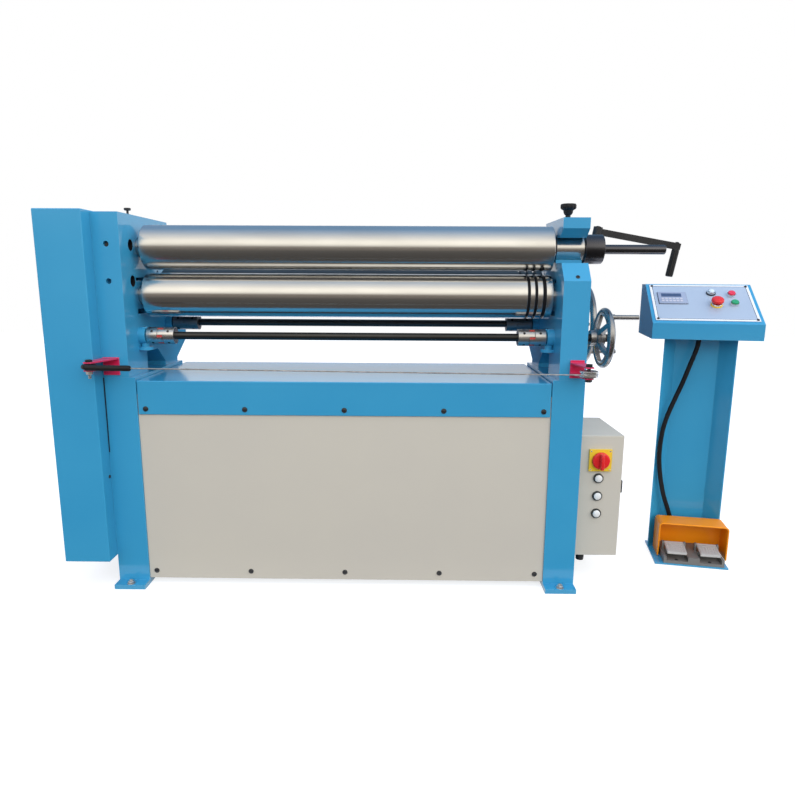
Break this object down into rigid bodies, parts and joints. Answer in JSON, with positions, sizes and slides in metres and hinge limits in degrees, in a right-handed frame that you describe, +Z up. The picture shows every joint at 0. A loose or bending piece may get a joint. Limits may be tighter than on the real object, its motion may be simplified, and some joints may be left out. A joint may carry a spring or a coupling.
{
  "type": "plate rolling machine",
  "caption": "Three-roll plate bending machine on a closed base, with handwheel roll adjustment, hinged end bearing, control pedestal, foot switch and side cabinet.",
  "frame": {"origin": "on the floor, at the centre of the four floor bolts of the machine's two legs", "axes": "+Z up, +Y to the rear, +X to the operator's right, along the rolls"},
  "size_m": [2.3461, 0.6716, 1.234],
  "materials": {
    "blue_paint": "gloss sky-blue enamel",
    "beige_paint": "satin beige-grey sheet paint",
    "red_paint": "gloss crimson enamel",
    "orange_paint": "gloss orange enamel",
    "ground_steel": "ground and polished",
    "dark_steel": "oiled bar steel",
    "black_steel": "black oxide",
    "bright_steel": "polished",
    "wire_rope": "stranded wire",
    "cast_iron": "machined cast iron",
    "grey_casting": "painted grey casting",
    "panel_aluminium": "lilac-grey anodised sheet",
    "red_rubber": "moulded elastomer",
    "black_rubber": "matt black",
    "black_plastic": "moulded",
    "yellow_plastic": "moulded",
    "red_plastic": "moulded",
    "green_plastic": "moulded",
    "lamp_lens": "frosted lens"
  },
  "bodies": {
    "machine": {"legs": "blue_paint", "base_beams": "blue_paint", "table_cover": "blue_paint", "base_panels": "beige_paint", "left_frame": "blue_paint", "right_frame": "blue_paint", "gear_guard": "blue_paint", "frame_oil_cup": "black_steel", "screw_jacks": "blue_paint", "rope_brackets": "red_paint", "pull_rope": "wire_rope", "rope_switch": "yellow_plastic", "cabinet": "beige_paint", "switch_plate": "yellow_plastic", "pilot_lamps": "lamp_lens", "cabinet_fittings": "black_plastic", "pedestal": "blue_paint", "console_box": "blue_paint", "console_panel": "panel_aluminium", "button_rims": "bright_steel", "foot_switch_hood": "orange_paint", "foot_switch_base": "grey_casting", "foot_conduit": "black_rubber"},
    "upper_roll_set": {"upper_roll": "ground_steel", "lift_bar": "black_steel"},
    "front_drive": {"front_shaft": "dark_steel", "front_couplings": "bright_steel", "front_spiders": "red_rubber", "front_handwheel": "bright_steel"},
    "lower_slide": {"lower_blocks": "cast_iron"},
    "lower_roll_body": {"lower_roll": "ground_steel"},
    "rear_drive": {"rear_shaft": "dark_steel", "rear_couplings": "cast_iron", "rear_handwheel": "bright_steel"},
    "rear_slide": {"rear_blocks": "cast_iron"},
    "rear_roll_body": {"rear_roll": "ground_steel"},
    "cap": {"bearing_cap": "blue_paint", "cap_oil_cup": "black_plastic"},
    "crank": {"clamp_crank": "black_steel"},
    "pulley": {"rope_pulley": "bright_steel"},
    "main_switch": {"switch_knob": "red_plastic"},
    "estop": {"estop_button": "red_plastic"},
    "stop": {"stop_button": "red_plastic"},
    "start": {"start_button": "green_plastic"},
    "pedal_left": {"left_pedal": "bright_steel"},
    "pedal_right": {"right_pedal": "bright_steel"}
  },
  "joints": [
    {"name": "upper_roll_spin", "type": "hinge", "parent": "machine", "child": "upper_roll_set", "pos_m": [0, -0.0705, 1.095], "axis": [1, 0, 0], "continuous": true},
    {"name": "front_drive_turn", "type": "hinge", "parent": "machine", "child": "front_drive", "pos_m": [0, -0.1025, 0.815], "axis": [1, 0, 0], "range_deg": [-720, 360]},
    {"name": "lower_roll_lift", "type": "slide", "parent": "machine", "child": "lower_slide", "axis": [0, 0, 1], "range_m": [-0.01, 0.005]},
    {"name": "lower_roll_spin", "type": "hinge", "parent": "lower_slide", "child": "lower_roll_body", "pos_m": [0, -0.0705, 0.9446], "axis": [1, 0, 0], "continuous": true},
    {"name": "rear_drive_turn", "type": "hinge", "parent": "machine", "child": "rear_drive", "pos_m": [0, 0.1405, 0.842], "axis": [1, 0, 0], "range_deg": [-2304, 216]},
    {"name": "rear_roll_lift", "type": "slide", "parent": "machine", "child": "rear_slide", "axis": [0, -0.6691, 0.7431], "range_m": [-0.032, 0.003]},
    {"name": "rear_roll_spin", "type": "hinge", "parent": "rear_slide", "child": "rear_roll_body", "pos_m": [0, 0.07609, 0.95878], "axis": [1, 0, 0], "continuous": true},
    {"name": "cap_open", "type": "hinge", "parent": "machine", "child": "cap", "pos_m": [0, 0.1175, 1.15], "axis": [-1, 0, 0], "range_deg": [0, 100]},
    {"name": "crank_turn", "type": "hinge", "parent": "cap", "child": "crank", "pos_m": [0.824, 0.0125, 1.156], "axis": [0.1736, 0, 0.9848], "range_deg": [-10, 60]},
    {"name": "pulley_spin", "type": "hinge", "parent": "machine", "child": "pulley", "pos_m": [0.73, -0.3125, 0.729], "axis": [0, 0, 1], "continuous": true},
    {"name": "main_switch_turn", "type": "hinge", "parent": "machine", "child": "main_switch", "pos_m": [0.834, -0.1395, 0.418], "axis": [0, -1, 0], "range_deg": [0, 90]},
    {"name": "estop_push", "type": "slide", "parent": "machine", "child": "estop", "axis": [-0.1015, -0.5374, 0.8372], "range_m": [-0.006, 0]},
    {"name": "stop_push", "type": "slide", "parent": "machine", "child": "stop", "axis": [-0.1015, -0.5374, 0.8372], "range_m": [-0.003, 0], "stiffness_N_per_m": 400, "springref_m": 0.004},
    {"name": "start_push", "type": "slide", "parent": "machine", "child": "start", "axis": [-0.1015, -0.5374, 0.8372], "range_m": [-0.003, 0], "stiffness_N_per_m": 400, "springref_m": 0.004},
    {"name": "left_pedal_press", "type": "hinge", "parent": "machine", "child": "pedal_left", "pos_m": [1.17924, 0.0382, 0.052], "axis": [0.9826, -0.1857, 0], "range_deg": [0, 8], "stiffness_Nm_per_rad": 3, "springref_deg": -20.05},
    {"name": "right_pedal_press", "type": "hinge", "parent": "machine", "child": "pedal_right", "pos_m": [1.28831, 0.01759, 0.052], "axis": [0.9826, -0.1857, 0], "range_deg": [0, 8], "stiffness_Nm_per_rad": 3, "springref_deg": -20.05}
  ],
  "couplings": [
    {"joint": "lower_roll_spin", "follows": "upper_roll_spin", "ratio": -1},
    {"joint": "lower_roll_lift", "follows": "front_drive_turn", "m_per_rad": 0.00079577},
    {"joint": "rear_roll_lift", "follows": "rear_drive_turn", "m_per_rad": 0.00079577}
  ]
}
